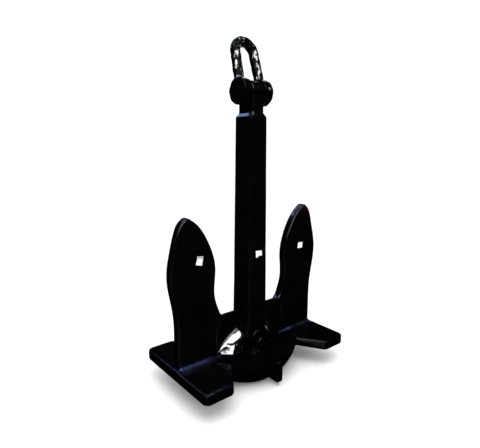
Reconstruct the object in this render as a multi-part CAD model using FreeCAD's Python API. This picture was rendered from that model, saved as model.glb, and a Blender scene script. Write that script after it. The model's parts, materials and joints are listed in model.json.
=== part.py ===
"""Stockless fluke anchor, modelled upright on its crown.

Millimetres, +Z up. X runs along the trunnion axis, -Y is the front, and the origin is the
middle of the flat base, straight under the shank. Each node is written to parts/NODE.step.
"""
import FreeCAD, Part
import math
import os

V = FreeCAD.Vector
X_AXIS = V(1, 0, 0)
Y_AXIS = V(0, 1, 0)
SIDES = {"left": -1, "right": 1}
ENDS = {"front": -1, "back": 1}

# Driving dimensions
AXIS_Z = 207.0             # height of the trunnion axis
SHACKLE_Z = 1608.0         # height of the shackle pin axis
PALM_Z = 112.0             # underside of the palms
PALM_T = 58.0              # palm plate thickness
DECK_Z = PALM_Z + PALM_T   # top of the palms and of the crown's deck
STOP_DEG = 42.3            # lean at which the shank meets the lip of its slot
RUN_GAP = 0.06             # radial clearance of a running fit

# Shank
SHANK_HALF_X = 67.5        # half width at the foot
SHANK_HALF_Y = 76.5        # half depth at the foot
FOOT_R = SHANK_HALF_Y + 1  # round foot, a little proud of the bar
SHOULDER_Z = SHACKLE_Z - 130.0
SHOULDER_HALF_X = 58.0
SHOULDER_HALF_Y = 67.0
SHANK_ROUND = 9.0          # rounding of the long edges
NECK_HALF_X = 40.5
NECK_HALF_Y = 60.0
NECK_ROOT = 10.0           # depth the neck's stem is drawn into the bar
SHOULDER_RISE = 20.0       # height of the sloping shoulder

# Crown
SLOT_HALF = 100.5          # half width of the shank slot
SEAT_GAP = 2.5             # room round the foot in its bored seat
PAD_R = 62.0               # round pads on the slot walls that keep the foot central
PAD_FACE_X = SHANK_HALF_X + SEAT_GAP
BARREL_R = 261.0           # crown radius about the trunnion axis, at the middle
BARREL_CROWN_R = 360.0     # radius of the barrel's profile along X
BARREL_END_X = 300.0
BOSS_SECTIONS = [          # trunnion boss from the slot wall out: X, round top's radius, its centre's Z
    (SLOT_HALF, 68.0, 227.0), (150.0, 58.0, 212.0), (200.0, 38.0, 195.0), (246.0, 12.0, 170.0)]
BOSS_SINK = 30.0           # depth the boss is drawn into the crown
LIP_ROUND = 8.0

# Axle and what holds it
AXLE_R = 38.0
AXLE_HALF = 150.0
AXLE_CHAMFER = 4.0
POCKET_HALF = 152.0
KEEPER_HALF_Y = AXLE_R + RUN_GAP
KEEPER_TOP_Z = AXIS_Z - 20.0
KEEPER_RECESS = 4.0        # keeper stays this far above the base
KEEPER_PIN_R = 16.0
KEEPER_PIN_Z = 78.0
KEEPER_PIN_X = 126.0
DOWEL_R = 17.0
DOWEL_Z = AXIS_Z + 22.0
DOWEL_BLIND = 12.0         # wall left behind the dowel's end
DOWEL_HEAD_R = 42.0
DOWEL_HEAD_T = 7.0
DOWEL_HEAD_CHAMFER = 4.2
DOWEL_ROOM_HALF_X = DOWEL_HEAD_R + 4.0
DOWEL_ROOM_HALF_Y = SHANK_HALF_Y + DOWEL_HEAD_T + 1.5

# Flukes
FLUKE_HALF_T = 27.0
FLUKE_FOOT_X = 503.0
FLUKE_TIP = (430.0, 968.0)
WEB_TOP_Z = 394.0
WEB_HALF_T = 12.0          # the web beside the boss is thinner than the leaf
WEB_OUT_X = 256.0          # where the leaf's full thickness starts, low down
WEB_OUT_Z = 330.0          # height from which that line slants in towards the web's top
WEB_OUT_TOP_X = 200.0
WEB_OVER = 16.0            # the relief runs on above the web's top
FLUKE_ROUND = 12.0
WELD_R = 45.0              # hollow radius of the bead along the fluke's foot
WELD_IN_X = 270.0

# Palms
PALM_OUTER_X = 523.5
PALM_HALF_Y = 302.0
PALM_FRONT_X = 355.0       # inner end of the palm's front edge
PALM_WAIST = (258.0, 140.0)
PALM_CORNER_R = 36.0
PALM_ROUND = 9.0

# Central toe ribs under the crown
RIB_T = 30.0
RIB_REACH_Y = 272.0
RIB_ROOT_Y = 160.0
RIB_LOW_Z = 24.0
RIB_TOP_Z = 150.0
RIB_ROUND = 18.0

# Shackle
LEAN_DEG = 15.5            # the bow leans back at rest
BOW_BAR_R = 27.5
BOW_R = 64.0               # bend radius of the bow's centreline
BOW_CENTRE_H = 214.0       # bend centre above the shackle pin
EAR_IN_X = 45.0
EAR_OUT_X = 100.5
EAR_R = 70.0
EAR_ROUND = 8.0
NECK_EYE_R = NECK_HALF_Y
NECK_EYE_ROUND = 6.0
SHACKLE_PIN_R = 28.0
PIN_PROUD = 3.0
PIN_CHAMFER = 3.0
LOCK_PIN_R = 7.0
LOCK_PIN_TAPER = 0.9
LEAD_DEPTH = 9.0


def box(x0, x1, y0, y1, z0, z1):
    return Part.makeBox(x1 - x0, y1 - y0, z1 - z0, V(x0, y0, z0))


def cylinder_x(radius, x0, x1, y, z):
    return Part.makeCylinder(radius, x1 - x0, V(x0, y, z), X_AXIS)


def cylinder_y(radius, y0, y1, x, z):
    return Part.makeCylinder(radius, y1 - y0, V(x, y0, z), Y_AXIS)


def mirrored(shape, side):
    """A shape drawn on the +X side, moved to the side asked for."""
    if side > 0:
        return shape
    return shape.mirror(V(0, 0, 0), X_AXIS)


def prism(edges, direction):
    return Part.Face(Part.Wire(edges)).extrude(direction)


def polygon_prism(points, direction):
    wire = Part.makePolygon(points + [points[0]])
    return Part.Face(wire).extrude(direction)


def line(start, end):
    return Part.LineSegment(start, end).toShape()


def spline(points, start, end):
    """One smooth edge through the points, with the tangents given at its ends."""
    curve = Part.BSplineCurve()
    curve.interpolate(Points=points, InitialTangent=start, FinalTangent=end)
    return curve.toShape()


def rounded_rectangle(half_x, half_y, radius, z):
    """Closed wire of four lines and four quarter arcs in a level plane."""
    arcs = []
    for index, (sx, sy) in enumerate([(1, 1), (-1, 1), (-1, -1), (1, -1)]):
        centre = V(sx * (half_x - radius), sy * (half_y - radius), z)
        turns = [math.radians(90 * index + part) for part in (0, 45, 90)]
        arcs.append([centre + V(math.cos(turn), math.sin(turn), 0) * radius for turn in turns])
    edges = []
    for arc, following in zip(arcs, arcs[1:] + arcs[:1]):
        edges.append(Part.Arc(*arc).toShape())
        edges.append(line(arc[2], following[0]))
    return Part.Wire(edges)


def barrel():
    """Crown body: a barrel about the trunnion axis, cut level at the deck and at the base."""
    end_drop = BARREL_CROWN_R - math.sqrt(BARREL_CROWN_R ** 2 - BARREL_END_X ** 2)
    end_r = BARREL_R - end_drop
    start = V(-BARREL_END_X, 0, AXIS_Z + end_r)
    end = V(BARREL_END_X, 0, AXIS_Z + end_r)
    edges = [
        Part.Arc(start, V(0, 0, AXIS_Z + BARREL_R), end).toShape(),
        line(end, V(BARREL_END_X, 0, AXIS_Z)),
        line(V(BARREL_END_X, 0, AXIS_Z), V(-BARREL_END_X, 0, AXIS_Z)),
        line(V(-BARREL_END_X, 0, AXIS_Z), start),
    ]
    body = Part.Face(Part.Wire(edges)).revolve(V(0, 0, AXIS_Z), X_AXIS, 360)
    level = box(-BARREL_END_X, BARREL_END_X, -BARREL_R, BARREL_R, 0, DECK_Z)
    return body.common(level)


def boss_section(x, radius, centre_z):
    """Round-topped section of the boss, its sides run straight down into the crown."""
    low = DECK_Z - BOSS_SINK
    arc = Part.Arc(V(x, -radius, centre_z), V(x, 0, centre_z + radius), V(x, radius, centre_z)).toShape()
    down = line(V(x, radius, centre_z), V(x, radius, low))
    across = line(V(x, radius, low), V(x, -radius, low))
    return Part.Wire([arc, down, across, line(V(x, -radius, low), V(x, -radius, centre_z))])


def trunnion_boss(side):
    """Boss over the axle's end, highest at the slot wall, that falls to the deck on the way out."""
    loft = Part.makeLoft([boss_section(*section) for section in BOSS_SECTIONS], True, False)
    return mirrored(loft, side)


def slot_space(half_x, half_y):
    """Space for a leaning bar of this section: an entry from below, a seat, a ramp to each lip."""
    seat_r = half_y + SEAT_GAP
    seat = cylinder_x(seat_r, -half_x, half_x, 0, AXIS_Z)
    entry = box(-half_x, half_x, -seat_r, seat_r, -1, AXIS_Z)
    space = seat.fuse(entry)
    lean = math.radians(STOP_DEG)
    for end in ENDS.values():
        out = V(0, end * math.cos(lean), -math.sin(lean))
        up = V(0, end * math.sin(lean), math.cos(lean))
        centre = V(-half_x, 0, AXIS_Z)
        foot = centre + out * half_y
        corners = [centre, foot, foot + up * BARREL_R, centre + V(0, 0, BARREL_R)]
        space = space.fuse(polygon_prism(corners, X_AXIS * (2 * half_x)))
    return space


def axle_pocket(side):
    """Bore for one end of the axle, and the keeper's channel up from the base."""
    bore = cylinder_x(AXLE_R + RUN_GAP, PAD_FACE_X - 1, POCKET_HALF, 0, AXIS_Z)
    channel = box(PAD_FACE_X - 1, POCKET_HALF, -KEEPER_HALF_Y, KEEPER_HALF_Y, -1, AXIS_Z)
    return mirrored(bore.fuse(channel), side)


def keeper_pin_hole(side):
    return cylinder_y(KEEPER_PIN_R, -BARREL_R, BARREL_R, side * KEEPER_PIN_X, KEEPER_PIN_Z)


def crown_casting():
    body = barrel()
    for side in SIDES.values():
        body = body.fuse(trunnion_boss(side))
    body = body.cut(slot_space(SLOT_HALF, SHANK_HALF_Y))
    for side in SIDES.values():
        pad = cylinder_x(PAD_R, PAD_FACE_X, SLOT_HALF + 1, 0, AXIS_Z)
        body = body.fuse(mirrored(pad, side))
        body = body.cut(axle_pocket(side))
        body = body.cut(keeper_pin_hole(side))
    body = body.removeSplitter()
    body = body.makeFillet(LIP_ROUND, [edge for edge in body.Edges if is_slot_lip(edge)])
    return body.cut(slot_space(DOWEL_ROOM_HALF_X, DOWEL_ROOM_HALF_Y))


def is_slot_lip(edge):
    """True for the two edges across the slot where each ramp meets the deck."""
    bounds = edge.BoundBox
    level = bounds.ZLength < 1e-3 and abs(bounds.ZMax - DECK_Z) < 1e-3
    return level and bounds.YLength < 1e-3 and bounds.XLength > 2 * SLOT_HALF - 1


def fluke_outline():
    """Edges of the right fluke and its web, in the plane of the front face."""
    y = -FLUKE_HALF_T
    foot_in = V(SLOT_HALF, y, DECK_Z)
    foot_out = V(FLUKE_FOOT_X, y, DECK_Z)
    hip = V(FLUKE_FOOT_X, y, 390)
    tip_out = V(FLUKE_TIP[0] + 20, y, FLUKE_TIP[1] - 10)
    tip_in = V(FLUKE_TIP[0] - 20, y, FLUKE_TIP[1] - 9)
    web_out = V(190, y, WEB_TOP_Z)
    web_in = V(SLOT_HALF, y, WEB_TOP_Z)
    outer = [hip, V(520, y, 540), V(538, y, 665), V(507, y, 840), tip_out]
    inner = [tip_in, V(307, y, 838), V(259, y, 675), V(266, y, 535), V(232, y, 424), web_out]
    return [
        line(foot_in, foot_out),
        line(foot_out, hip),
        spline(outer, V(0, 0, 1), V(-0.85, 0, 0.5)),
        Part.Arc(tip_out, V(FLUKE_TIP[0], y, FLUKE_TIP[1]), tip_in).toShape(),
        spline(inner, V(-0.85, 0, -0.5), V(-1, 0, -0.12)),
        line(web_out, web_in),
        line(web_in, foot_in),
    ]


def fluke(side):
    slab = prism(fluke_outline(), V(0, 2 * FLUKE_HALF_T, 0))
    rim = [edge for edge in slab.Edges if is_leaf_rim(edge)]
    slab = slab.makeFillet(FLUKE_ROUND, rim)
    for end in ENDS.values():
        slab = slab.cut(web_relief(end))
    slab = slab.cut(trunnion_boss(1))
    return mirrored(slab, side)


def web_relief(end):
    """Space beside the web, on its front or its back, where the leaf's thickness stops."""
    y = end * WEB_HALF_T
    low, high = DECK_Z - 1, WEB_TOP_Z + WEB_OVER
    outline = [(SLOT_HALF - 1, low), (WEB_OUT_X, low), (WEB_OUT_X, WEB_OUT_Z), (WEB_OUT_TOP_X, high),
               (SLOT_HALF - 1, high)]
    return polygon_prism([V(x, y, z) for x, z in outline], V(0, end * FLUKE_HALF_T, 0))


def is_leaf_rim(edge):
    """True for the edges round the leaf, which lie in one face plane above the foot."""
    bounds = edge.BoundBox
    flat = bounds.YLength < 1e-3
    return flat and bounds.ZMax > DECK_Z + 1 and bounds.XMax > SLOT_HALF + 1


def fluke_weld(side):
    """Hollow-faced beads along the front and the back of the fluke's foot."""
    beads = []
    for end in ENDS.values():
        y = end * FLUKE_HALF_T
        root = V(WELD_IN_X, y, DECK_Z)
        toe = V(WELD_IN_X, y + end * WELD_R, DECK_Z)
        top = V(WELD_IN_X, y, DECK_Z + WELD_R)
        dip = WELD_R * (1 - math.sqrt(0.5))
        middle = V(WELD_IN_X, y + end * dip, DECK_Z + dip)
        edges = [line(root, toe), Part.Arc(toe, middle, top).toShape(), line(top, root)]
        bead = prism(edges, V(FLUKE_FOOT_X - WELD_IN_X, 0, 0))
        beads.append(bead.cut(trunnion_boss(1)))
    return mirrored(Part.makeCompound(beads), side)


def palm_outline(z):
    """Outline of the right palm, with its inner edge slanting in to the crown at each end."""
    points = [
        (PALM_OUTER_X, -PALM_HALF_Y), (PALM_OUTER_X, PALM_HALF_Y), (PALM_FRONT_X, PALM_HALF_Y),
        PALM_WAIST, (PALM_WAIST[0], -PALM_WAIST[1]), (PALM_FRONT_X, -PALM_HALF_Y),
    ]
    return [V(x, y, z) for x, y in points]


def palm(side):
    plate = polygon_prism(palm_outline(PALM_Z), V(0, 0, PALM_T))
    corners = [edge for edge in plate.Edges if is_palm_corner(edge)]
    plate = plate.makeFillet(PALM_CORNER_R, corners)
    rim = [edge for edge in plate.Edges if is_palm_rim(edge)]
    plate = plate.makeFillet(PALM_ROUND, rim)
    return mirrored(plate.cut(barrel()), side)


def is_palm_corner(edge):
    bounds = edge.BoundBox
    return bounds.ZLength > PALM_T - 1 and abs(bounds.Center.y) > PALM_HALF_Y - 1


def is_palm_rim(edge):
    bounds = edge.BoundBox
    return bounds.ZLength < 1 and bounds.XMax > PALM_WAIST[0] + 1


def crown_rib(end):
    """Thin central toe that stands out of the barrel below the deck."""
    start = V(-RIB_T / 2, -RIB_ROOT_Y, RIB_LOW_Z)
    low = V(-RIB_T / 2, -RIB_REACH_Y, RIB_LOW_Z)
    high = V(-RIB_T / 2, -RIB_REACH_Y, RIB_TOP_Z)
    back = V(-RIB_T / 2, -RIB_ROOT_Y, RIB_TOP_Z)
    plate = polygon_prism([start, low, high, back], V(RIB_T, 0, 0))
    corners = [edge for edge in plate.Edges
               if edge.BoundBox.XLength > RIB_T - 1 and edge.BoundBox.Center.y < -RIB_REACH_Y + 1]
    plate = plate.makeFillet(RIB_ROUND, corners)
    plate = plate.cut(barrel())
    if end > 0:
        plate = plate.mirror(V(0, 0, 0), Y_AXIS)
    return plate


def axle_keeper(side):
    """Block under one axle end, hollowed on top to carry it."""
    block = box(SLOT_HALF, POCKET_HALF, -KEEPER_HALF_Y, KEEPER_HALF_Y, KEEPER_RECESS, KEEPER_TOP_Z)
    block = block.cut(cylinder_x(AXLE_R + RUN_GAP, SLOT_HALF - 1, POCKET_HALF + 1, 0, AXIS_Z))
    return mirrored(block.cut(keeper_pin_hole(1)), side)


def keeper_pin(side):
    """Cross pin from front to back, flush with the barrel."""
    pin = keeper_pin_hole(1)
    return mirrored(pin.common(barrel()), side)


def shank():
    foot = cylinder_x(FOOT_R, -SHANK_HALF_X, SHANK_HALF_X, 0, AXIS_Z)
    bar = Part.makeLoft([rounded_rectangle(SHANK_HALF_X, SHANK_HALF_Y, SHANK_ROUND, AXIS_Z),
                         rounded_rectangle(SHOULDER_HALF_X, SHOULDER_HALF_Y, SHANK_ROUND, SHOULDER_Z)],
                        True, True)
    body = bar.fuse([foot, neck()])
    body = body.cut(cylinder_x(AXLE_R, -SLOT_HALF, SLOT_HALF, 0, AXIS_Z))
    body = body.cut(cylinder_x(SHACKLE_PIN_R + RUN_GAP, -NECK_HALF_X - 1, NECK_HALF_X + 1, 0, SHACKLE_Z))
    return body.cut(axle_dowel())


def neck():
    """Narrow top of the shank with its round upper eye, above the sloping shoulder."""
    foot = rounded_rectangle(NECK_HALF_X, NECK_HALF_Y, SHANK_ROUND, SHOULDER_Z - NECK_ROOT)
    stem = Part.Face(foot).extrude(V(0, 0, SHACKLE_Z - SHOULDER_Z + NECK_ROOT))
    eye = cylinder_x(NECK_EYE_R, -NECK_HALF_X, NECK_HALF_X, 0, SHACKLE_Z)
    eye = eye.makeFillet(NECK_EYE_ROUND, [edge for edge in eye.Edges if edge.BoundBox.XLength < 1])
    shoulder = Part.makeLoft([
        rounded_rectangle(SHOULDER_HALF_X, SHOULDER_HALF_Y, SHANK_ROUND, SHOULDER_Z),
        rounded_rectangle(NECK_HALF_X, NECK_HALF_Y, SHANK_ROUND, SHOULDER_Z + SHOULDER_RISE)], True, True)
    return stem.fuse([eye, shoulder])


def trunnion_axle():
    bar = cylinder_x(AXLE_R, -AXLE_HALF, AXLE_HALF, 0, AXIS_Z)
    bar = bar.makeChamfer(AXLE_CHAMFER, [edge for edge in bar.Edges if edge.BoundBox.XLength < 1])
    return bar.cut(axle_dowel())


def axle_dowel():
    """Lock pin across the foot and the axle, with a round head on the front."""
    stem = cylinder_y(DOWEL_R, -SHANK_HALF_Y, SHANK_HALF_Y - DOWEL_BLIND, 0, DOWEL_Z)
    head = cylinder_y(DOWEL_HEAD_R, -SHANK_HALF_Y - DOWEL_HEAD_T, -SHANK_HALF_Y, 0, DOWEL_Z)
    rim = [edge for edge in head.Edges if edge.BoundBox.YMax < -SHANK_HALF_Y - 1]
    return stem.fuse(head.makeChamfer(DOWEL_HEAD_CHAMFER, rim))


def leaned(shape):
    """Tilt a shackle piece back about the shackle pin."""
    turned = shape.copy()
    turned.rotate(V(0, 0, SHACKLE_Z), X_AXIS, -LEAN_DEG)
    return turned


def bow_path():
    """Centreline from ear to ear: slanted leg, round bow, slanted leg."""
    ear_x = (EAR_IN_X + EAR_OUT_X) / 2
    reach = math.hypot(ear_x, BOW_CENTRE_H)
    slant = math.atan2(ear_x, BOW_CENTRE_H) - math.asin(BOW_R / reach)
    touch_x = BOW_R * math.cos(slant)
    touch_z = SHACKLE_Z + BOW_CENTRE_H + BOW_R * math.sin(slant)
    top = V(0, 0, SHACKLE_Z + BOW_CENTRE_H + BOW_R)
    left = V(-touch_x, 0, touch_z)
    right = V(touch_x, 0, touch_z)
    start = V(-ear_x, 0, SHACKLE_Z)
    edges = [line(start, left), Part.Arc(left, top, right).toShape(), line(right, V(ear_x, 0, SHACKLE_Z))]
    return Part.Wire(edges), start, left - start


def shackle_bow():
    path, start, heading = bow_path()
    profile = Part.Wire([Part.Circle(start, heading, BOW_BAR_R).toShape()])
    body = path.makePipeShell([profile], True, True)
    for side in SIDES.values():
        ear = mirrored(cylinder_x(EAR_R, EAR_IN_X, EAR_OUT_X, 0, SHACKLE_Z), side)
        ear = ear.makeFillet(EAR_ROUND, [edge for edge in ear.Edges if edge.BoundBox.XLength < 1])
        body = body.fuse(ear)
    body = body.cut(cylinder_x(SHACKLE_PIN_R, -EAR_OUT_X - 1, EAR_OUT_X + 1, 0, SHACKLE_Z))
    body = leaned(body)
    return body.cut(lock_hole())


def lock_hole():
    """Hole through the right ear, across the shackle pin, for the taper pin and its plug."""
    x = (EAR_IN_X + EAR_OUT_X) / 2
    hole = Part.makeCone(LOCK_PIN_R + LOCK_PIN_TAPER, LOCK_PIN_R - LOCK_PIN_TAPER, 2 * EAR_R,
                         V(x, -EAR_R, SHACKLE_Z), Y_AXIS)
    return leaned(hole)


def shackle_pin():
    end = EAR_OUT_X + PIN_PROUD
    pin = cylinder_x(SHACKLE_PIN_R, -end, end, 0, SHACKLE_Z)
    pin = pin.makeChamfer(PIN_CHAMFER, [edge for edge in pin.Edges if edge.BoundBox.XLength < 1])
    return leaned(pin).cut(lock_hole())


def lock_parts():
    """The taper pin, and the lead peg that fills the last stretch of its hole."""
    x = (EAR_IN_X + EAR_OUT_X) / 2
    ear = leaned(cylinder_x(EAR_R, EAR_IN_X, EAR_OUT_X, 0, SHACKLE_Z))
    filled = lock_hole().common(ear)
    split = leaned(box(x - 20, x + 20, -EAR_R - 1, -EAR_R + LEAD_DEPTH, SHACKLE_Z - 20, SHACKLE_Z + 20))
    return filled.cut(split), filled.common(split)


def nodes():
    lock_pin, lead_plug = lock_parts()
    made = {
        "crown_casting": crown_casting(),
        "shank": shank(),
        "trunnion_axle": trunnion_axle(),
        "axle_dowel": axle_dowel(),
        "shackle_bow": shackle_bow(),
        "shackle_pin": shackle_pin(),
        "shackle_lock_pin": lock_pin,
        "lead_plug": lead_plug,
    }
    for name, side in SIDES.items():
        made["fluke_" + name] = fluke(side)
        made["fluke_weld_" + name] = fluke_weld(side)
        made["palm_" + name] = palm(side)
        made["axle_keeper_" + name] = axle_keeper(side)
        made["keeper_pin_" + name] = keeper_pin(side)
    for name, end in ENDS.items():
        made["crown_rib_" + name] = crown_rib(end)
    return made


os.makedirs("parts", exist_ok=True)
for node_name, node_shape in nodes().items():
    node_shape.exportStep("parts/" + node_name + ".step")
    solids = len(node_shape.Solids)
    print(node_name, "solids", solids, "valid", node_shape.isValid(), "litres", round(node_shape.Volume / 1e6, 2))
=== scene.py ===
"""Gloss black stockless anchor, upright on its crown on a plain pale floor.

Metres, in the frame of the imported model: X along the trunnion axis, -Y the front, +Z up.
"""
import json
import math

import bmesh
import bpy
from mathutils import Matrix, Vector, noise

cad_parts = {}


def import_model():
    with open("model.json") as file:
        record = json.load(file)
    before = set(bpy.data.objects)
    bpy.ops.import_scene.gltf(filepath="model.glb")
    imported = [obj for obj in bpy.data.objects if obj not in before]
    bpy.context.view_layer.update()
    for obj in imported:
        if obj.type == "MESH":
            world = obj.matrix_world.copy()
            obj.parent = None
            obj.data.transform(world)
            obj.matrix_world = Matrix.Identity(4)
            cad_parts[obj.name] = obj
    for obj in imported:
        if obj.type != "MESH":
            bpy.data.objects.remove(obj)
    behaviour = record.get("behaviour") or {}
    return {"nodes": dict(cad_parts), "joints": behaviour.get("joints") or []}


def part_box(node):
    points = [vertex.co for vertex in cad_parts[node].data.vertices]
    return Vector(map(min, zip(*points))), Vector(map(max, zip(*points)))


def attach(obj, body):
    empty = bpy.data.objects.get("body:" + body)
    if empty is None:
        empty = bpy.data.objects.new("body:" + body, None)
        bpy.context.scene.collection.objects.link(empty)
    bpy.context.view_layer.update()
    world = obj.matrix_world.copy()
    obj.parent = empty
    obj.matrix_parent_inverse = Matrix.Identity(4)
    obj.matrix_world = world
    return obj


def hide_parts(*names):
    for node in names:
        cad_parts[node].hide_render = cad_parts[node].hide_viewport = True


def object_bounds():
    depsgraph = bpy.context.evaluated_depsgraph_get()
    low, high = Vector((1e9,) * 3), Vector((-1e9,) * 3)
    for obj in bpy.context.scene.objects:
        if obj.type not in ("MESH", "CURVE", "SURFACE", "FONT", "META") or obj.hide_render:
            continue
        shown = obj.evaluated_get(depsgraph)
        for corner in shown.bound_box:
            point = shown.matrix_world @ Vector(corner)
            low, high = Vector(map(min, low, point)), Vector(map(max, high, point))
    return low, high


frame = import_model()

noise.seed_set(1)        # unseeded, the ragged edges in patch() would start from the clock

CAD_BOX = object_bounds()
SIDES = {"left": -1, "right": 1}
MM = 0.001

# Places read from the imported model
JOINT_AT = {joint["name"]: Vector(joint["pos_m"]) for joint in frame["joints"]}
AXIS_Z = JOINT_AT["shank_tilt"].z
PALM_LOW, PALM_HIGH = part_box("palm_right")
DECK_Z = PALM_HIGH.z
PALM_Z = PALM_LOW.z
FLUKE_LOW, FLUKE_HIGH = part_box("fluke_right")
FLUKE_HALF_T = FLUKE_HIGH.y
CROWN_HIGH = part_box("crown_casting")[1]
DOWEL_LOW, DOWEL_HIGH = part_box("axle_dowel")
SLOT_HALF = FLUKE_LOW.x

# Shapes that the boxes do not tell, as the crown, the palms and the shank are drawn
BARREL_R = math.hypot(CROWN_HIGH.y, AXIS_Z - DECK_Z)
BARREL_CROWN_R = 360 * MM
BARREL_HALF = 300 * MM
BOSS_OUT_X = 246 * MM
BOSS_TOP_Z = CROWN_HIGH.z + 1 * MM
# Sections of a boss, in millimetres: distance from the middle, radius and height of the round
# top's axis, and the tilt of its flank in degrees
BOSS_SECTIONS = [(101.5, 68, 227, 3), (150, 58, 212, 12), (185, 44, 200, 33), (246, 12, 170, 42)]
PALM_WAIST = Vector((258 * MM, 140 * MM))
PALM_FRONT = Vector((355 * MM, PALM_HIGH.y))
FOOT_OUT_X = 503 * MM
SHANK_FRONT_Y = -72.4 * MM       # at the height of the shank's patch

# How far pieces are run on into each other, so that no gap shows
SUNK = 14 * MM
SKIRT_SUNK = 4 * MM

CAST_VOXEL = 4 * MM
FINE_VOXEL = 2.5 * MM


# ---------------------------------------------------------------- meshes

def linked(name, mesh):
    """Object for a mesh, put in the scene."""
    piece = bpy.data.objects.new(name, mesh)
    bpy.context.scene.collection.objects.link(piece)
    return piece


def cad_copy(node):
    """A CAD node as one closed bmesh, with the points that its file stores twice joined."""
    bm = bmesh.new()
    bm.from_mesh(frame["nodes"][node].data)
    bmesh.ops.remove_doubles(bm, verts=bm.verts, dist=0.002 * MM)
    return bm


def softened(name, bm, voxel, rounds):
    """Even quad mesh of the shape, its edges worn round as on a casting."""
    rough = bpy.data.meshes.new(name + "_rough")
    bm.to_mesh(rough)
    bm.free()
    carrier = linked(name + "_rough", rough)
    remesh = carrier.modifiers.new("even", "REMESH")
    remesh.mode = "VOXEL"
    remesh.voxel_size = voxel
    smooth = carrier.modifiers.new("soften", "SMOOTH")
    smooth.factor = 0.5
    smooth.iterations = rounds
    graph = bpy.context.evaluated_depsgraph_get()
    mesh = bpy.data.meshes.new_from_object(carrier.evaluated_get(graph))
    bpy.data.objects.remove(carrier)
    bpy.data.meshes.remove(rough)
    mesh.name = name
    return mesh


def roughened(mesh, waves):
    """Push the surface in and out by noise: waves is a list of (height, width, offset)."""
    normals = [vertex.normal.copy() for vertex in mesh.vertices]
    for vertex, normal in zip(mesh.vertices, normals):
        lift = 0.0
        for height, width, offset in waves:
            lift += height * noise.noise(vertex.co / width + Vector((offset, 0, 0)))
        vertex.co += normal * lift
        vertex.co.x = min(max(vertex.co.x, CAD_BOX[0].x), CAD_BOX[1].x)
        vertex.co.y = min(max(vertex.co.y, CAD_BOX[0].y), CAD_BOX[1].y)
        vertex.co.z = min(max(vertex.co.z, CAD_BOX[0].z), CAD_BOX[1].z)
    return mesh


def finished(name, mesh, body, material, nodes=()):
    """Shade the piece smooth, give it its paint, and hang it on its body."""
    for polygon in mesh.polygons:
        polygon.use_smooth = True
    mesh.materials.clear()
    mesh.materials.append(material)
    piece = linked(name, mesh)
    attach(piece, body)
    if nodes:
        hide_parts(*nodes)
    return piece


def bridged(bm, rings):
    """Faces from each ring of vertices to the next."""
    count = len(rings[0])
    for ring, following in zip(rings, rings[1:]):
        for at in range(count):
            after = (at + 1) % count
            bm.faces.new((ring[at], ring[after], following[after], following[at]))


def swept(rings):
    """Closed mesh through a list of rings of points, with a fan of faces over each end."""
    bm = bmesh.new()
    grid = [[bm.verts.new(point) for point in ring] for ring in rings]
    bridged(bm, grid)
    count = len(grid[0])
    for ring in (grid[0], grid[-1]):
        middle = bm.verts.new(sum((vertex.co for vertex in ring), Vector()) / count)
        for at in range(count):
            bm.faces.new((ring[at], ring[(at + 1) % count], middle))
    return closed(bm)


def looped(rings):
    """Closed mesh through rings that come back to the first one."""
    bm = bmesh.new()
    grid = [[bm.verts.new(point) for point in ring] for ring in rings]
    bridged(bm, grid + grid[:1])
    return closed(bm)


def closed(bm):
    """Mesh of a closed bmesh, its faces turned outward."""
    bmesh.ops.recalc_face_normals(bm, faces=bm.faces)
    mesh = bpy.data.meshes.new("swept")
    bm.to_mesh(mesh)
    bm.free()
    mesh.update()
    return mesh


# ---------------------------------------------------------------- materials

def shader(name):
    """A node material, and a function that adds a node to it with its values set."""
    material = bpy.data.materials.new(name)
    material.use_nodes = True
    tree = material.node_tree
    tree.nodes.clear()

    def node(kind, inputs=None, **settings):
        made = tree.nodes.new(kind)
        for key, value in settings.items():
            setattr(made, key, value)
        for key, value in (inputs or {}).items():
            if isinstance(value, bpy.types.NodeSocket):
                tree.links.new(value, made.inputs[key])
            else:
                made.inputs[key].default_value = value
        return made

    return material, node


def stretched_noise(node, place, scale, detail=3.0, roughness=0.55):
    """Noise over object coordinates, stretched by a scale for each axis."""
    spread = node("ShaderNodeMapping", {"Vector": place, "Scale": scale})
    made = node("ShaderNodeTexNoise", {
        "Vector": spread.outputs["Vector"], "Scale": 1.0, "Detail": detail, "Roughness": roughness})
    return made.outputs["Fac"]


def ranged(node, value, low, high, start=0.3, end=0.7):
    """Map start..end of a value to low..high."""
    made = node("ShaderNodeMapRange", {
        "Value": value, "From Min": start, "From Max": end, "To Min": low, "To Max": high})
    return made.outputs["Result"]


def mixed(node, share, first, second):
    """Mix two colours by a share."""
    made = node("ShaderNodeMix", data_type="RGBA")
    tree = made.id_data
    for socket, value in ((made.inputs[0], share), (made.inputs[6], first), (made.inputs[7], second)):
        if isinstance(value, bpy.types.NodeSocket):
            tree.links.new(value, socket)
        else:
            socket.default_value = value
    return made.outputs[2]


def combined(node, operation, first, second):
    """One sum on two values."""
    return node("ShaderNodeMath", {0: first, 1: second}, operation=operation).outputs[0]


def bumped(node, layers):
    """Chain of bumps; each layer is (height, depth in metres)."""
    normal = None
    for height, depth in layers:
        inputs = {"Height": height, "Distance": depth, "Strength": 1.0}
        if normal is not None:
            inputs["Normal"] = normal
        normal = node("ShaderNodeBump", inputs).outputs["Normal"]
    return normal


BLACK = (0.0005, 0.0005, 0.0006, 1)
BLACK_WORN = (0.0013, 0.0012, 0.0012, 1)
RUST = (0.014, 0.0055, 0.0030, 1)
PRIMER = (0.015, 0.0030, 0.0025, 1)
MOST_RUST = 0.35
FULL_GLOSS = 0.5
EDGE_GLOSS = 0.06


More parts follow.
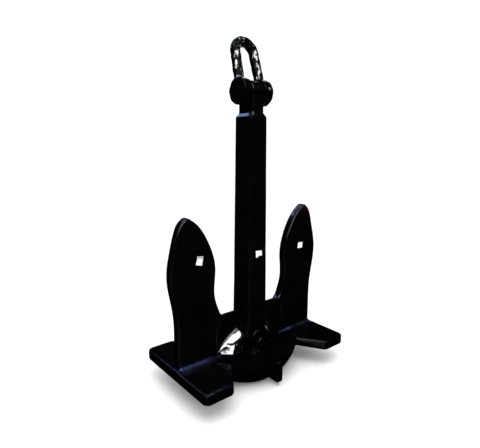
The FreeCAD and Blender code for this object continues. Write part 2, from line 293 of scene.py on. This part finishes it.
def black_colour(node, place, grit, worn, tip_z):
    """Black in two close tones, brown where it is worn, and red primer round the rubbed tip."""
    patches = stretched_noise(node, place, (7, 7, 7), 4)
    colour = mixed(node, ranged(node, patches, 0, 1), BLACK, BLACK_WORN)
    colour = mixed(node, worn, colour, RUST)
    if tip_z is None:
        return colour
    height = node("ShaderNodeSeparateXYZ", {0: place}).outputs["Z"]
    near_tip = ranged(node, height, 0, 1, tip_z - 70 * MM, tip_z)
    rubbed = combined(node, "MULTIPLY", near_tip, ranged(node, grit, 0.1, 1, 0.35, 0.6))
    return mixed(node, rubbed, colour, PRIMER)


def gloss_black(name, brush=(90, 90, 9), lumps=1.4, sheen=0.13, dull_from=0.505, tip_z=None,
                polished=None, iors=(1.5, 3.4), tint=(1, 1, 1)):
    """Brushed-on black enamel over cast steel.

    brush is the brush marks' scale per axis, lumps the depth of the casting's waviness in
    millimetres, sheen the lowest roughness and dull_from the pointiness at which worn edges
    start to lose their gloss. Near tip_z the paint is rubbed down to its red primer. iors are
    the paint's index of refraction where the share that polished gives is 0 and where it is 1,
    and tint colours its reflections.
    """
    material, node = shader(name)
    place = node("ShaderNodeTexCoord").outputs["Object"]
    patches = stretched_noise(node, place, (7, 7, 7), 4)
    marks = stretched_noise(node, place, brush, 2)
    peel = stretched_noise(node, place, (420, 420, 420), 2)
    swell = stretched_noise(node, place, (28, 28, 28), 2)
    grit = stretched_noise(node, place, (150, 150, 150), 4)
    edges = node("ShaderNodeNewGeometry").outputs["Pointiness"]
    worn = combined(node, "MULTIPLY", ranged(node, edges, 0, 1, 0.53, 0.60),
                    ranged(node, grit, 0, 1, 0.45, 0.62))
    worn = combined(node, "MULTIPLY", worn, MOST_RUST)
    roughness = combined(node, "ADD", ranged(node, patches, sheen, sheen + 0.05),
                         ranged(node, marks, -0.01, 0.03))
    roughness = combined(node, "ADD", roughness, worn)
    level = ranged(node, edges, FULL_GLOSS, EDGE_GLOSS, dull_from, dull_from + 0.03)
    ior = iors[0]
    if polished is not None:
        ior = ranged(node, polished(node, place), iors[0], iors[1], 0, 1)
        level = combined(node, "MULTIPLY", level, deck_gloss(node, place))
    skin = node("ShaderNodeBsdfPrincipled", {
        "Base Color": black_colour(node, place, grit, worn, tip_z),
        "Roughness": roughness,
        "IOR": ior,
        "Specular IOR Level": level,
        "Specular Tint": (*tint, 1),
        "Normal": bumped(node, [(swell, lumps * MM), (marks, 0.10 * MM), (peel, 0.012 * MM)])})
    node("ShaderNodeOutputMaterial", {"Surface": skin.outputs[0]})
    return material


def boss_share(node, place):
    """1 on the left trunnion boss, above the deck and outside the slot, and 0 elsewhere."""
    at = node("ShaderNodeSeparateXYZ", {0: place})
    outside = ranged(node, at.outputs["X"], 1, 0, -SLOT_HALF - 3 * MM, -SLOT_HALF + 2 * MM)
    above = ranged(node, at.outputs["Z"], 0, 1, DECK_Z + 3 * MM, DECK_Z + 8 * MM)
    return combined(node, "MULTIPLY", outside, above)


def bow_share(node, place):
    """1 on smooth patches of the shackle's bow, above its ears, and 0 elsewhere."""
    height = node("ShaderNodeSeparateXYZ", {0: place}).outputs["Z"]
    pin_z = JOINT_AT["shackle_swing"].z
    above = ranged(node, height, 0, 1, pin_z + 58 * MM, pin_z + 72 * MM)
    smooth = ranged(node, stretched_noise(node, place, (42, 42, 24), 2), 0, 1, 0.49, 0.60)
    return combined(node, "MULTIPLY", above, smooth)


def deck_gloss(node, place):
    """Share of the gloss that is left: none on the trodden flat of the deck, and 1 elsewhere."""
    height = node("ShaderNodeSeparateXYZ", {0: place}).outputs["Z"]
    above = ranged(node, height, 0, 1, DECK_Z + 2 * MM, DECK_Z + 6 * MM)
    below = ranged(node, height, 1, 0, DECK_Z - 6 * MM, DECK_Z - 2 * MM)
    return combined(node, "ADD", above, below)


def bare_steel():
    """Turned steel under a thin film of paint and rust."""
    material, node = shader("bare_steel")
    place = node("ShaderNodeTexCoord").outputs["Object"]
    turning = stretched_noise(node, place, (900, 40, 40), 2)
    stain = stretched_noise(node, place, (35, 35, 35), 5)
    stained = ranged(node, stain, 0, 1, 0.4, 0.65)
    skin = node("ShaderNodeBsdfPrincipled", {
        "Base Color": mixed(node, stained, (0.085, 0.085, 0.09, 1), (0.040, 0.024, 0.016, 1)),
        "Metallic": 0.6,
        "Roughness": ranged(node, stain, 0.35, 0.6),
        "Normal": bumped(node, [(turning, 0.03 * MM), (stain, 0.3 * MM)])})
    node("ShaderNodeOutputMaterial", {"Surface": skin.outputs[0]})
    return material


def soft_lead():
    """Hammered lead, dull grey with a paler bruised skin."""
    material, node = shader("lead")
    place = node("ShaderNodeTexCoord").outputs["Object"]
    dents = node("ShaderNodeTexVoronoi", {"Vector": place, "Scale": 320.0}).outputs["Distance"]
    skin_tone = stretched_noise(node, place, (140, 140, 140), 3)
    colour = mixed(node, skin_tone, (0.10, 0.105, 0.115, 1), (0.20, 0.205, 0.21, 1))
    skin = node("ShaderNodeBsdfPrincipled", {
        "Base Color": colour, "Metallic": 0.5, "Roughness": ranged(node, skin_tone, 0.45, 0.65),
        "Normal": bumped(node, [(dents, 0.4 * MM)])})
    node("ShaderNodeOutputMaterial", {"Surface": skin.outputs[0]})
    return material


def chalky_enamel(name, clean, grimy):
    """Chalky paint of the blank inspection patches."""
    material, node = shader(name)
    place = node("ShaderNodeTexCoord").outputs["Object"]
    strokes = stretched_noise(node, place, (160, 160, 700), 3)
    grime = stretched_noise(node, place, (60, 60, 60), 4)
    colour = mixed(node, ranged(node, grime, 0, 1, 0.50, 0.75), (*clean, 1), (*grimy, 1))
    skin = node("ShaderNodeBsdfPrincipled", {
        "Base Color": colour, "Roughness": ranged(node, strokes, 0.4, 0.6),
        "Normal": bumped(node, [(strokes, 0.08 * MM)])})
    node("ShaderNodeOutputMaterial", {"Surface": skin.outputs[0]})
    return material


# ---------------------------------------------------------------- head

# Riser stumps ground off in front of the slot and behind it, and pits in the left boss:
# place, radius and height, in millimetres
CAST_MARKS = [
    ((-60, -120, 170), 42, 19), ((60, 120, 170), 42, 19),
    ((-189, -37, 220), 9, -4), ((-148, -58, 221), 8, -4)]


def raised(mesh, place, radius, height):
    """Push the surface out round a place, or in where the height is negative."""
    for vertex in mesh.vertices:
        away = (vertex.co - place).length / radius
        if away < 1:
            vertex.co += vertex.normal * height * (0.5 + 0.5 * math.cos(math.pi * away))


def boss_skirt(bm, side):
    """Flare a boss's flanks out to the deck, as a solid that overlaps the casting."""
    rings = []
    low = DECK_Z - SKIRT_SUNK
    for x, radius, centre_z, degrees in BOSS_SECTIONS:
        tilt = math.radians(degrees)
        high = (centre_z + radius * math.sin(tilt)) * MM
        top = radius * math.cos(tilt) * MM
        foot = top + (high - low) * math.tan(tilt)
        outline = [(-foot, low), (foot, low), (top, high), (-top, high)]
        rings.append([bm.verts.new((side * x * MM, y, z)) for y, z in outline])
    bridged(bm, rings)
    bm.faces.new(rings[0])
    bm.faces.new(rings[-1])
    bmesh.ops.recalc_face_normals(bm, faces=bm.faces)


def crown(paint):
    """Crown casting, its bosses flared and its small marks pressed in."""
    bm = cad_copy("crown_casting")
    for side in SIDES.values():
        boss_skirt(bm, side)
    mesh = softened("crown", bm, CAST_VOXEL, 3)
    for place, radius, height in CAST_MARKS:
        raised(mesh, Vector(place) * MM, radius * MM, height * MM)
    roughened(mesh, [(0.7 * MM, 90 * MM, 0.0), (0.25 * MM, 16 * MM, 5.0)])
    return finished("crown", mesh, "head", paint, ["crown_casting"])


def fluke(name, side, paint):
    """Fluke and web, its foot run down into the palm and the boss so that no gap shows."""
    bm = cad_copy("fluke_" + name)
    for vertex in bm.verts:
        on_foot = vertex.co.z < DECK_Z + 0.1 * MM
        under_web = side * vertex.co.x < BOSS_OUT_X + 1 * MM and vertex.co.z < BOSS_TOP_Z
        if on_foot or under_web:
            vertex.co.z -= SUNK
    mesh = softened("fluke_" + name, bm, CAST_VOXEL, 3)
    roughened(mesh, [(1.0 * MM, 130 * MM, 9.0 * side), (0.22 * MM, 18 * MM, 3.0)])
    return finished("fluke_plate_" + name, mesh, "head", paint, ["fluke_" + name])


def foot_route(side):
    """Way round the fluke's foot: along its front, round its outer end and back, with the
    outward direction and the size of the weld at each point."""
    corner = 14 * MM
    start = 225 * MM
    far = FOOT_OUT_X - corner
    step = 3 * MM
    half = FLUKE_HALF_T
    steps = round((far - start) / step)
    front = [(Vector((start + (far - start) * at / steps, -half)), Vector((0, -1))) for at in range(steps)]
    bend = []
    for at in range(9):
        turn = math.radians(-90 + 90 * at / 8)
        out = Vector((math.cos(turn), math.sin(turn)))
        bend.append((Vector((far, -half + corner)) + out * corner, out))
    end = [(Vector((FOOT_OUT_X, (-half + corner) * (1 - at / 5))), Vector((1, 0))) for at in range(1, 5)]
    halfway = front + bend + end
    back = [(Vector((at.x, -at.y)), Vector((out.x, -out.y))) for at, out in reversed(halfway)]
    route = []
    for at, out in halfway + back:
        grow = min(1.0, (at.x - start) / (90 * MM))
        size = (10 + 35 * grow) * MM
        size += (17 * MM - size) * abs(out.x) ** 0.7
        route.append((Vector((side * at.x, at.y, 0)), Vector((side * out.x, out.y, 0)), size))
    return route


def foot_weld(name, side, paint):
    """Hollow-faced weld round the fluke's foot, with the ripple of its passes."""
    rings = []
    buried = 9 * MM
    for at, (place, out, size) in enumerate(foot_route(side)):
        ripple = 0.35 * MM * math.sin(at * 1.9 + 0.8 * math.sin(at * 0.31))
        ring = []
        for part in range(15):
            turn = math.radians(90 * part / 14)
            along = size * (1 - math.sin(turn)) - ripple * math.sin(2 * turn)
            rise = size * (1 - math.cos(turn)) - ripple * math.sin(2 * turn)
            ring.append(place + out * along + Vector((0, 0, DECK_Z + rise)))
        ring.append(place - out * buried + Vector((0, 0, DECK_Z + size)))
        ring.append(place - out * buried + Vector((0, 0, DECK_Z - buried)))
        ring.append(place + out * size + Vector((0, 0, DECK_Z - buried)))
        rings.append(ring)
    mesh = roughened(swept(rings), [(0.5 * MM, 25 * MM, 2.0 * side)])
    return finished("foot_weld_" + name, mesh, "head", paint, ["fluke_weld_" + name])


def barrel_radius(x):
    """Radius of the barrel at a distance from its middle."""
    return BARREL_R - (BARREL_CROWN_R - math.sqrt(BARREL_CROWN_R ** 2 - x * x))


def palm_edge_point(z):
    """Where the palm's slanted inner edge leaves the barrel, at a height."""
    low, high = 0.0, 1.0
    for _ in range(30):
        middle = (low + high) / 2
        at = PALM_WAIST.lerp(PALM_FRONT, middle)
        if math.hypot(at.y, z - AXIS_Z) < barrel_radius(at.x):
            low = middle
        else:
            high = middle
    return PALM_WAIST.lerp(PALM_FRONT, low)


def barrel_x(y, z):
    """Distance from the middle at which the barrel's side, or its flat end, has this y and z."""
    low, high = 0.0, BARREL_HALF
    if math.hypot(y, z - AXIS_Z) < barrel_radius(high):
        return high
    for _ in range(30):
        middle = (low + high) / 2
        if math.hypot(y, z - AXIS_Z) < barrel_radius(middle):
            low = middle
        else:
            high = middle
    return low


def palm_root(side):
    """Closed route round the section where the palm meets the crown."""
    sunk = 4 * MM
    top, bottom = DECK_Z - sunk, PALM_Z + sunk
    reach_top = palm_edge_point(top).y - sunk
    reach_bottom = palm_edge_point(bottom).y - sunk
    route = []
    for at in range(60):
        y = reach_top * (2 * at / 59 - 1)
        route.append(Vector((side * barrel_x(y, top), y, top)))
    for at in range(1, 10):
        z = top + (bottom - top) * at / 10
        edge = palm_edge_point(z)
        route.append(Vector((side * edge.x, edge.y - sunk, z)))
    for at in range(60):
        y = reach_bottom * (1 - 2 * at / 59)
        route.append(Vector((side * barrel_x(y, bottom), y, bottom)))
    for at in range(1, 10):
        z = bottom + (top - bottom) * at / 10
        edge = palm_edge_point(z)
        route.append(Vector((side * edge.x, -edge.y + sunk, z)))
    return route


def bead_rings(route, radius, ripple, around=12):
    """Rings of a weld bead along a closed route."""
    rings = []
    total = len(route)
    for at, place in enumerate(route):
        ahead = (route[(at + 1) % total] - route[at - 1]).normalized()
        across = ahead.cross(Vector((0, 0, 1)))
        if across.length < 0.3:
            across = ahead.cross(Vector((0, 1, 0)))
        across.normalize()
        up = across.cross(ahead)
        size = radius + ripple * math.sin(at * 2.1 + math.sin(at * 0.37))
        turns = [2 * math.pi * part / around for part in range(around)]
        rings.append([place + (across * math.cos(turn) + up * math.sin(turn)) * size for turn in turns])
    return rings


def palm(name, side, paint):
    """Palm plate, its inner face run on into the crown."""
    bm = cad_copy("palm_" + name)
    for vertex in bm.verts:
        x, y, z = side * vertex.co.x, vertex.co.y, vertex.co.z
        reach = barrel_radius(min(x, BARREL_HALF)) + 0.5 * MM
        if x < BARREL_HALF + 1 * MM and math.hypot(y, z - AXIS_Z) < reach:
            vertex.co.x -= side * SUNK
            vertex.co.z += 2 * MM if z < (DECK_Z + PALM_Z) / 2 else -2 * MM
    mesh = softened("palm_" + name, bm, CAST_VOXEL, 3)
    roughened(mesh, [(0.8 * MM, 120 * MM, 4.0 * side), (0.2 * MM, 20 * MM, 7.0)])
    return finished("palm_plate_" + name, mesh, "head", paint, ["palm_" + name])


def palm_weld(name, side, paint):
    """Weld bead round the palm's root."""
    mesh = looped(bead_rings(palm_root(side), 8 * MM, 0.5 * MM))
    return finished("palm_weld_" + name, mesh, "head", paint)


def rib(end, paint):
    """Central toe, its root run on into the barrel."""
    bm = cad_copy("crown_rib_" + end)
    for vertex in bm.verts:
        if math.hypot(vertex.co.y, vertex.co.z - AXIS_Z) < BARREL_R + 0.3 * MM:
            vertex.co.y *= 0.93
    mesh = softened("rib_" + end, bm, FINE_VOXEL, 3)
    roughened(mesh, [(0.4 * MM, 40 * MM, 1.0)])
    return finished("toe_" + end, mesh, "head", paint, ["crown_rib_" + end])


# ---------------------------------------------------------------- shank and shackle

def shank_bar(paint):
    """Shank, its long faces a little wavy."""
    mesh = softened("shank", cad_copy("shank"), CAST_VOXEL, 3)
    roughened(mesh, [(0.8 * MM, 150 * MM, 6.0), (0.16 * MM, 22 * MM, 1.0)])
    return finished("shank_bar", mesh, "shank", paint, ["shank"])


def turned(profile, centre, axis, around=64):
    """Body of revolution: profile is a list of (distance along the axis, radius)."""
    axis = Vector(axis)
    side = axis.orthogonal().normalized()
    other = axis.cross(side)
    rings = []
    for along, radius in profile:
        turns = [2 * math.pi * part / around for part in range(around)]
        rings.append([centre + axis * along + (side * math.cos(turn) + other * math.sin(turn)) * radius
                      for turn in turns])
    return swept(rings)


def dowel(paint):
    """Lock pin across the foot, with the round bead of its weld on the front."""
    head_r = (DOWEL_HIGH.x - DOWEL_LOW.x) / 2
    head_t = 12 * MM
    shaft_r = 17 * MM
    ring_r = 8 * MM
    ring_at = 7 * MM
    inner = head_r - 2 * ring_r
    profile = [(2.5 * MM, inner * share) for share in (0.02, 0.3, 0.6, 0.9)]
    for part in range(13):
        turn = math.radians(180 - 180 * part / 12)
        rise = (ring_r - 0.3 * MM) * math.sin(turn)
        profile.append((max(ring_at - rise, 0.0), head_r - ring_r + ring_r * math.cos(turn)))
    profile.append((head_t, head_r - 1 * MM))
    profile += [(head_t, shaft_r), (DOWEL_HIGH.y - DOWEL_LOW.y, shaft_r)]
    centre = Vector((0, DOWEL_LOW.y, (DOWEL_LOW.z + DOWEL_HIGH.z) / 2))
    mesh = turned(profile, centre, (0, 1, 0))
    return finished("dowel", mesh, "shank", paint, ["axle_dowel"])


def bow(paint):
    """Bow and ears, with the shallow dents of the forging."""
    mesh = softened("bow", cad_copy("shackle_bow"), FINE_VOXEL, 6)
    roughened(mesh, [(2.2 * MM, 27 * MM, 2.0), (0.15 * MM, 12 * MM, 8.0)])
    return finished("bow", mesh, "shackle", paint, ["shackle_bow"])


def bolt(paint):
    """Shackle pin with its ends peened over a little."""
    low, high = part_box("shackle_pin")
    half = high.x
    radius = (high.y - low.y) / 2
    ends = [(0.0, 0.02), (0.15, 0.5), (0.5, 0.8), (1.6, 0.92), (3.4, 1.0)]
    profile = [(-half + depth * MM, radius * share) for depth, share in ends]
    profile += [(half - depth * MM, radius * share) for depth, share in reversed(ends)]
    mesh = turned(profile, Vector((0, 0, JOINT_AT["shackle_swing"].z)), (1, 0, 0))
    return finished("bolt", mesh, "shackle", paint, ["shackle_pin"])


# ---------------------------------------------------------------- painted patches

def patch(name, body, corners, y, material):
    """Thin blank patch of paint on a front face, between four corners in X and Z, in millimetres."""
    half_t = 0.5 * MM
    steps = 10
    bm = bmesh.new()
    sheets = []
    for depth in (y - half_t, y + half_t):
        rows = []
        for up in range(steps + 1):
            left = Vector(corners[3]).lerp(Vector(corners[0]), up / steps)
            right = Vector(corners[2]).lerp(Vector(corners[1]), up / steps)
            row = []
            for over in range(steps + 1):
                at = left.lerp(right, over / steps) * MM
                ragged = noise.noise_vector(Vector((at.x, 0, at.y)) / (9 * MM)) * 1.2 * MM
                row.append(bm.verts.new((at.x + ragged.x, depth, at.y + ragged.z)))
            rows.append(row)
        sheets.append(rows)
    for rows in sheets:
        for lower, upper in zip(rows, rows[1:]):
            for at in range(steps):
                bm.faces.new((lower[at], lower[at + 1], upper[at + 1], upper[at]))
    for front, back in zip(rim_of(sheets[0]), rim_of(sheets[1])):
        bm.faces.new((*front, *reversed(back)))
    return finished(name, closed(bm), body, material)


def rim_of(rows):
    """Pairs of neighbouring points round a grid's edge."""
    around = rows[0] + [row[-1] for row in rows[1:]] + rows[-1][-2::-1]
    around += [row[0] for row in reversed(rows[1:-1])]
    return list(zip(around, around[1:] + around[:1]))


def patches(white, grey):
    """Blank patches on the flukes and the shank, with a greyer strip above the left one."""
    front = -FLUKE_HALF_T
    left = [(-380, 751), (-345, 746), (-351, 712), (-390, 722)]
    strip = [(-382, 766), (-342, 761), (-345, 746), (-380, 751)]
    right = [(381, 729), (420, 726), (416, 691), (374, 693)]
    middle = [(-19, 746), (26, 743), (27, 705), (-17, 706)]
    patch("patch_fluke_left", "head", left, front, white)
    patch("patch_strip_left", "head", strip, front, grey)
    patch("patch_fluke_right", "head", right, front, white)
    patch("patch_shank", "shank", middle, SHANK_FRONT_Y, white)


# ---------------------------------------------------------------- stage

def floor():
    """Wide pale floor; the paint does not mirror it, so that the black stays deep."""
    bm = bmesh.new()
    bmesh.ops.create_circle(bm, cap_ends=True, segments=96, radius=60)
    mesh = bpy.data.meshes.new("floor")
    bm.to_mesh(mesh)
    bm.free()
    material, node = shader("pale_floor")
    place = node("ShaderNodeTexCoord").outputs["Object"]
    cloud = stretched_noise(node, place, (1.5, 1.5, 1.5), 3)
    colour = mixed(node, cloud, (0.95, 0.95, 0.95, 1), (0.97, 0.97, 0.97, 1))
    skin = node("ShaderNodeBsdfDiffuse", {"Color": colour})
    node("ShaderNodeOutputMaterial", {"Surface": skin.outputs[0]})
    mesh.materials.append(material)
    ground = linked("floor", mesh)
    ground.visible_glossy = False


def world():
    """Even white room light. Reflections come from the soft boxes alone."""
    room = bpy.data.worlds.new("room")
    bpy.context.scene.world = room
    room.use_nodes = True
    background = room.node_tree.nodes["Background"]
    background.inputs["Color"].default_value = (1.0, 1.0, 1.0, 1)
    background.inputs["Strength"].default_value = 1.08
    room.cycles_visibility.glossy = False


WHITE_GLOW = (0.95, 0.97, 1.0)
ROOM_GLOW = (0.90, 0.94, 1.0)
COOL_GLOW = (0.85, 0.92, 1.0)
PALE_BLUE_GLOW = (0.75, 0.85, 1.0)
BLUE_GLOW = (0.35, 0.50, 1.0)


def soft_box(name, azimuth, elevation, distance, width, height, strength, colour, aim=(0, 0, 0.8)):
    """Flat lamp seen only in reflections. Azimuth 0 is the front, 90 is +X, in degrees."""
    turn, rise = math.radians(azimuth), math.radians(elevation)
    away = Vector((math.sin(turn) * math.cos(rise), -math.cos(turn) * math.cos(rise), math.sin(rise)))
    bm = bmesh.new()
    bmesh.ops.create_grid(bm, x_segments=2, y_segments=2, size=0.5)
    mesh = bpy.data.meshes.new(name)
    bm.to_mesh(mesh)
    bm.free()
    material, node = shader(name)
    glow = node("ShaderNodeEmission", {"Color": (*colour, 1), "Strength": strength})
    node("ShaderNodeOutputMaterial", {"Surface": glow.outputs[0]})
    mesh.materials.append(material)
    box = linked(name, mesh)
    frame_of = away.to_track_quat("Z", "Y").to_matrix().to_4x4()
    box.matrix_world = Matrix.Translation(Vector(aim) + away * distance) @ frame_of @ Matrix.Diagonal(
        (width, height, 1, 1))
    box.visible_camera = False
    box.visible_diffuse = False
    box.visible_shadow = False


def overhead_lamp():
    """Wide lamp high on the left, for the soft shadow on the floor."""
    light = bpy.data.lights.new("overhead", "AREA")
    light.shape = "DISK"
    light.size = 4.0
    light.energy = 120
    lamp = bpy.data.objects.new("overhead", light)
    bpy.context.scene.collection.objects.link(lamp)
    lamp.location = (-1.0, -1.5, 4.5)
    lamp.rotation_mode = "QUATERNION"
    lamp.rotation_quaternion = Vector((-1.0, -1.5, 3.7)).to_track_quat("Z", "Y")
    lamp.visible_glossy = False


def lamps():
    """The large key lights the boss and the bow, and the blue ones the shoulder, the welds and
    the palms' edges. The two low ones show mostly from elsewhere than the camera, as a faint
    sheen on the flat faces."""
    soft_box("box_key", -46, 48, 20.0, 32.0, 20.5, 4.5, WHITE_GLOW)
    soft_box("box_rim", 16, 60, 8.0, 5.0, 5.4, 4.0, WHITE_GLOW)
    soft_box("box_right", 85, 24, 8.0, 6.2, 1.8, 0.8, COOL_GLOW)
    soft_box("box_back", -177, 42, 8.0, 3.8, 1.5, 4.2, BLUE_GLOW)
    soft_box("box_weld", 147, 54, 8.0, 2.6, 2.4, 3.6, BLUE_GLOW, (0, 0, 0.2))
    soft_box("box_ear", 134, 29, 0.8, 0.35, 0.2, 3.5, PALE_BLUE_GLOW, (0, 0, 1.68))
    soft_box("low_back", 135, -18, 9.0, 10.0, 4.5, 0.9, ROOM_GLOW)
    soft_box("low_front", -45, -18, 9.0, 8.0, 4.5, 0.3, ROOM_GLOW)
    overhead_lamp()


def camera():
    """Hand-held view from the front left, a little above the shank's middle."""
    place = Vector((-1.4775, -1.7040, 1.3105))
    azimuth, pitch, roll = math.radians(-39.456), math.radians(10.627), math.radians(0.244)
    level = Vector((math.sin(azimuth), -math.cos(azimuth), 0))
    back = level * math.cos(pitch) + Vector((0, 0, math.sin(pitch)))
    right = Vector((math.cos(azimuth), math.sin(azimuth), 0))
    up = back.cross(right)
    rolled_right = right * math.cos(roll) + up * math.sin(roll)
    rolled_up = up * math.cos(roll) - right * math.sin(roll)
    data = bpy.data.cameras.new("camera")
    data.sensor_width = 36
    data.lens = 30.154
    data.clip_end = 200
    eye = bpy.data.objects.new("camera", data)
    bpy.context.scene.collection.objects.link(eye)
    turn = Matrix((rolled_right, rolled_up, back)).transposed().to_4x4()
    eye.matrix_world = Matrix.Translation(place) @ turn
    bpy.context.scene.camera = eye


def paint_cad_node(node, material):
    """Give a CAD node its paint and leave its shape alone."""
    data = frame["nodes"][node].data
    data.materials.clear()
    data.materials.append(material)


def build():
    crown_paint = gloss_black("crown_black", lumps=1.8, polished=boss_share)
    head_paint = gloss_black("head_black", lumps=1.8)
    fluke_paint = gloss_black("fluke_black")
    tip_paint = gloss_black("fluke_black_rubbed", tip_z=FLUKE_HIGH.z)
    shank_paint = gloss_black("shank_black", sheen=0.16)
    weld_paint = gloss_black("weld_black", lumps=3.6, sheen=0.18, tint=(0.30, 0.38, 1.0))
    shackle_paint = gloss_black("shackle_black", (60, 60, 60), lumps=4.8, sheen=0.15,
                                dull_from=0.525, polished=bow_share, iors=(1.12, 3.0))
    steel = bare_steel()
    crown(crown_paint)
    for name, side in SIDES.items():
        fluke(name, side, tip_paint if side > 0 else fluke_paint)
        foot_weld(name, side, weld_paint)
        palm(name, side, head_paint)
        palm_weld(name, side, weld_paint)
        paint_cad_node("axle_keeper_" + name, steel)
        paint_cad_node("keeper_pin_" + name, head_paint)
    for end in ("front", "back"):
        rib(end, head_paint)
    shank_bar(shank_paint)
    dowel(shank_paint)
    paint_cad_node("trunnion_axle", steel)
    bow(shackle_paint)
    bolt(shackle_paint)
    paint_cad_node("shackle_lock_pin", steel)
    paint_cad_node("lead_plug", soft_lead())
    white = chalky_enamel("white_enamel", (0.86, 0.86, 0.88), (0.55, 0.53, 0.52))
    patches(white, chalky_enamel("grey_enamel", (0.42, 0.42, 0.43), (0.25, 0.25, 0.25)))


build()
floor()
world()
lamps()
camera()
bpy.context.scene.view_settings.view_transform = "Standard"
